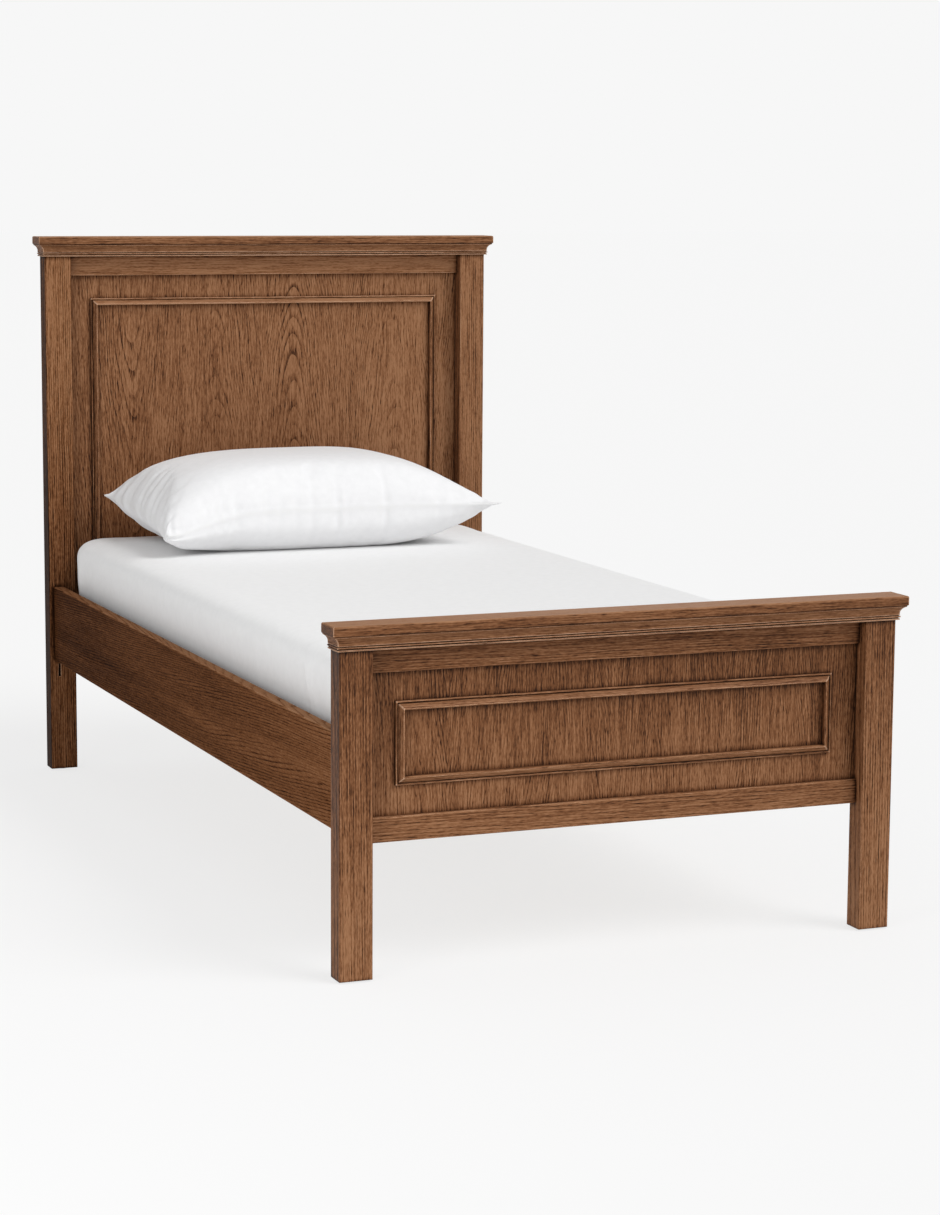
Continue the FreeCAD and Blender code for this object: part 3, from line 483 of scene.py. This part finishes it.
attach(sheet, "mattress_body")


# Pillow: two panels of white cotton sewn round the edge and stuffed plump, laid on the mattress.
# A dome on each side of the seam, blown up a little as cloth, with puckers that die away from the seam.

def even(width, power, root, count):
    """Places from -1 to 1 that lie evenly along the arch 106 mm high x (1 - |place|^power)^root over a half width."""
    fine = np.linspace(-1, 1, 4001)
    arch = 106 * (1 - np.abs(fine) ** power) ** root
    length = np.concatenate([[0], np.cumsum(np.hypot(np.diff(width * fine), np.diff(arch)))])
    return np.interp(np.linspace(0, length[-1], count + 1), length, fine)


columns, rows = 112, 76
a, b = np.meshgrid(even(400, 3.4, 0.85, columns), even(237.5, 3.2, 0.4, rows), indexing="ij")
# Plan: the edges draw in between the corners, most in the middle of each side. Three corners are drawn out
# to points; the fourth, front left, is pushed back under the filling.
front_left = (1 - a) * (1 - b) / 4
corner = (0.027 + 0.007 * a) * np.abs(a * b) ** 7 * (1 - 2.4 * front_left)
across = -0.015 + 0.4 * a * (1 - 0.034 * (1 - b ** 2) * a ** 2 + corner)
along = 0.726 + 0.2375 * b * (1 - 0.047 * (1 - a ** 2) * b ** 2)
across += 0.0015 * (np.sin(84 * along) + 0.7 * np.sin(147 * along + 1)) * ((1 - a) / 2) ** 30
# Seam: level 650 mm up, but down the left end it sinks evenly to 49 mm lower at the front left corner.
seam = 0.65 - 0.049 * np.exp(-((across + 0.401) / 0.09) ** 2 / 2) * (1 - b) / 2
# The upper panel swells to 751.5 mm and the lower one down to the mattress, by (1 - |a|^3.4) to a power x
# (1 - |b|^3.2) to a power. The powers are higher, and the ends so more pointed, to the right.
right = (a + 1) ** 2 * (2 - a) / 4
front = (1 - b) ** 2 / 4
swell_a, swell_b = 1 - np.abs(a) ** 3.4, 1 - np.abs(b) ** 3.2
rise = (0.7515 - seam) * swell_a ** (0.5 + 1.1 * right) * swell_b ** (0.4 + 0.2 * a ** 4)
fall = (seam - 0.5555) * swell_a ** (0.45 + 0.45 * right - 0.1 * (1 - right) * front) \
    * swell_b ** (0.4 - 0.12 * front + 0.2 * a ** 4 * right)
upper = np.arange(a.size).reshape(a.shape)
lower = upper.copy()
lower[1:-1, 1:-1] = a.size + np.arange((columns - 1) * (rows - 1)).reshape(columns - 1, rows - 1)
# Round the tucked corner the filling stands out past the seam, by up to 22 mm below it and 12 mm above.
from_seam = np.minimum(400 * (1 - np.abs(a)), 237.5 * (1 - np.abs(b)))
past = np.exp(-((across + 0.4) ** 2 + (along - 0.4885) ** 2) / (2 * 0.05 ** 2)) * (1 - np.exp(-from_seam / 8))
top = np.stack([across - 0.012 * past, along - 0.006 * past, seam + rise], axis=-1)
under = np.stack([across - 0.022 * past, along - 0.012 * past, seam - fall], axis=-1)[1:-1, 1:-1]


def grid_quads(number):
    """Quads between neighbouring numbers of a grid."""
    return np.stack([number[:-1, :-1], number[1:, :-1], number[1:, 1:], number[:-1, 1:]], axis=-1).reshape(-1, 4)


def both(values):
    """Values of the grid for the points of the upper and then the lower panel."""
    return np.concatenate([values.ravel(), values[1:-1, 1:-1].ravel()])


pillow = new_piece("stuffed_pillow", np.concatenate([top.reshape(-1, 3), under.reshape(-1, 3)]),
                   np.concatenate([grid_quads(upper), grid_quads(lower)[:, ::-1]]))
start = points_of(pillow.data)
laid = capped(start, blown_up(pillow, 20, uniform_pressure_force=4.0), 0.012)
# Distance of every point from the seam, and the place on the seam that it is nearest to, in millimetres.
border = np.ones(a.shape, bool)
border[1:-1, 1:-1] = False
on_seam = top[border] * 1000
gap = np.linalg.norm(top.reshape(-1, 1, 3) * 1000 - on_seam, axis=2)
nearest = gap.min(axis=1).reshape(a.shape)
end_seam = (np.abs(a) == 1)[border]
run_on_seam = np.where(end_seam, on_seam[:, 1] + 10000 * np.sign(a[border]), on_seam[:, 0] + 5000 * np.sign(b[border]))
run = run_on_seam[gap.argmin(axis=1)].reshape(a.shape)
# Puckers: grooves that run in from the seam, more of them near the corners, 6-12 mm wide, fading over 20-60 mm.
# Those of the left end are longer and deeper, because the filling has slid away from it.
chance = np.random.default_rng(5)
count = 110
crowd = 0.12 + 0.25 * (b[border] == -1) + np.abs(a * b)[border] ** 6
left_end = np.array([512, 548, 596, 650, 690, 742, 800, 838, 896, 934]) - 10000
place = np.concatenate([chance.choice(run_on_seam, count, p=crowd / crowd.sum()), left_end])[:, None, None]


def between(low, high, left_low, left_high):
    """Chance values for the puckers: one range for most of them and another for those of the left end."""
    many, few = chance.uniform(low, high, count), chance.uniform(left_low, left_high, len(left_end))
    return np.concatenate([many, few])[:, None, None]


width, reach, depth = between(4, 9, 8, 13), between(18, 50, 60, 120), between(2.0, 5.5, 3.5, 7.0)
grooves = depth * np.exp(-((run - place) / width) ** 2) * (1 - np.exp(-nearest / 8)) * np.exp(-nearest / reach)
relief = -grooves.sum(axis=0)
# The seam itself: a stitched ridge with a valley beside it.
relief += 1.2 * np.exp(-(nearest / 3) ** 2) - 0.6 * np.exp(-((nearest - 9) / 5) ** 2)
pillow.data.vertices.foreach_set("co", laid.astype(np.float32).ravel())
pillow.data.update()
laid = laid + 0.001 * both(relief)[:, None] * normals_of(pillow.data)
laid[:, 1] = np.minimum(laid[:, 1], 0.9635)
laid[:, 2] = np.maximum(laid[:, 2], 0.5532)
# Painted shade along the seam, full on it and gone about 6 mm away.
seam_shade_weights = pillow.data.attributes.new("seam", "FLOAT", "POINT")
seam_shade_weights.data.foreach_set("value", both(np.exp(-(nearest / 3) ** 2)).astype(np.float32))
pillow.data.vertices.foreach_set("co", laid.astype(np.float32).ravel())
smooth = pillow.modifiers.new("smooth", "SUBSURF")
smooth.levels = smooth.render_levels = 1
pillow.data.materials.append(cotton("white_pillow_cotton", "#F0F0F1", "#ECECED", 1.0))
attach(pillow, "pillow_body")
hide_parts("pillow")


# Floor, light and camera: white studio floor, one broad soft light from the upper right, pale surround.

def looked_at(tree):
    """1 for rays that show the background: from the camera, or seen in gloss or through glass."""
    path = put(tree, "LightPath").outputs
    shown = put(tree, "Math", {0: path["Is Camera Ray"], 1: path["Is Glossy Ray"]}, operation="MAXIMUM").outputs[0]
    return put(tree, "Math", {0: shown, 1: path["Is Transmission Ray"]}, operation="MAXIMUM").outputs[0]


floor_mesh = bpy.data.meshes.new("floor")
reach = 60.0
floor_mesh.from_pydata([(-reach, -reach, 0), (reach, -reach, 0), (reach, reach, 0), (-reach, reach, 0)],
                       [], [(0, 1, 2, 3)])
floor = bpy.data.objects.new("floor", floor_mesh)
scene.collection.objects.link(floor)
floor_paint = bpy.data.materials.new("white_floor")
floor_paint.use_nodes = True
tree = floor_paint.node_tree
tree.nodes.clear()
paint = put(tree, "BsdfDiffuse", {"Color": srgb("#F4F4F4")}).outputs[0]
glow = put(tree, "Emission", {"Color": srgb("#FBFBFB"), "Strength": 1.0}).outputs[0]
faint_shadow = put(tree, "MixShader", {0: 0.77, 1: paint, 2: glow}).outputs[0]
floor_look = put(tree, "MixShader", {0: looked_at(tree), 1: paint, 2: faint_shadow}).outputs[0]
put(tree, "OutputMaterial", {"Surface": floor_look})
floor_mesh.materials.append(floor_paint)

world = bpy.data.worlds.new("studio")
world.use_nodes = True
scene.world = world
tree = world.node_tree
tree.nodes.clear()
fill = put(tree, "Background", {"Color": srgb("#FFFFFF"), "Strength": 0.5})
shown = put(tree, "Background", {"Color": srgb("#F7F7F7"), "Strength": 1.0})
chosen = put(tree, "MixShader", {0: looked_at(tree), 1: fill.outputs[0], 2: shown.outputs[0]})
put(tree, "OutputWorld", {"Surface": chosen.outputs[0]})

lamp = bpy.data.lights.new("key", "SUN")
lamp.energy = 1.74
lamp.angle = math.radians(36)
key = bpy.data.objects.new("key", lamp)
scene.collection.objects.link(key)
towards_key = Vector((0.6, -0.62, 0.82))
key.rotation_mode = "QUATERNION"
key.rotation_quaternion = towards_key.to_track_quat("Z", "Y")

panel_light = bpy.data.lights.new("fill_panel", "AREA")
panel_light.energy = 30.0
panel_light.size = 1.6
fill_panel = bpy.data.objects.new("fill_panel", panel_light)
scene.collection.objects.link(fill_panel)
fill_panel.location = (-3.2, -2.6, 1.3)
fill_panel.rotation_mode = "QUATERNION"
fill_panel.rotation_quaternion = (Vector(fill_panel.location) - Vector((-0.5, -0.5, 0.4))).to_track_quat("Z", "Y")

camera_data = bpy.data.cameras.new("camera")
camera = bpy.data.objects.new("camera", camera_data)
scene.collection.objects.link(camera)
scene.camera = camera
YAW, PITCH, ROLL = 0.3899, -0.1457, -0.0065
gaze = Vector((math.sin(YAW) * math.cos(PITCH), math.cos(YAW) * math.cos(PITCH), math.sin(PITCH)))
camera.location = (-2.24454, -5.7317, 1.39952)
camera.rotation_mode = "QUATERNION"
camera.rotation_quaternion = Quaternion(gaze, ROLL) @ gaze.to_track_quat("-Z", "Y")
camera_data.sensor_width = 36.0
camera_data.lens = 36.0 * 2968.43 / 1215

scene.view_settings.view_transform = "Standard"
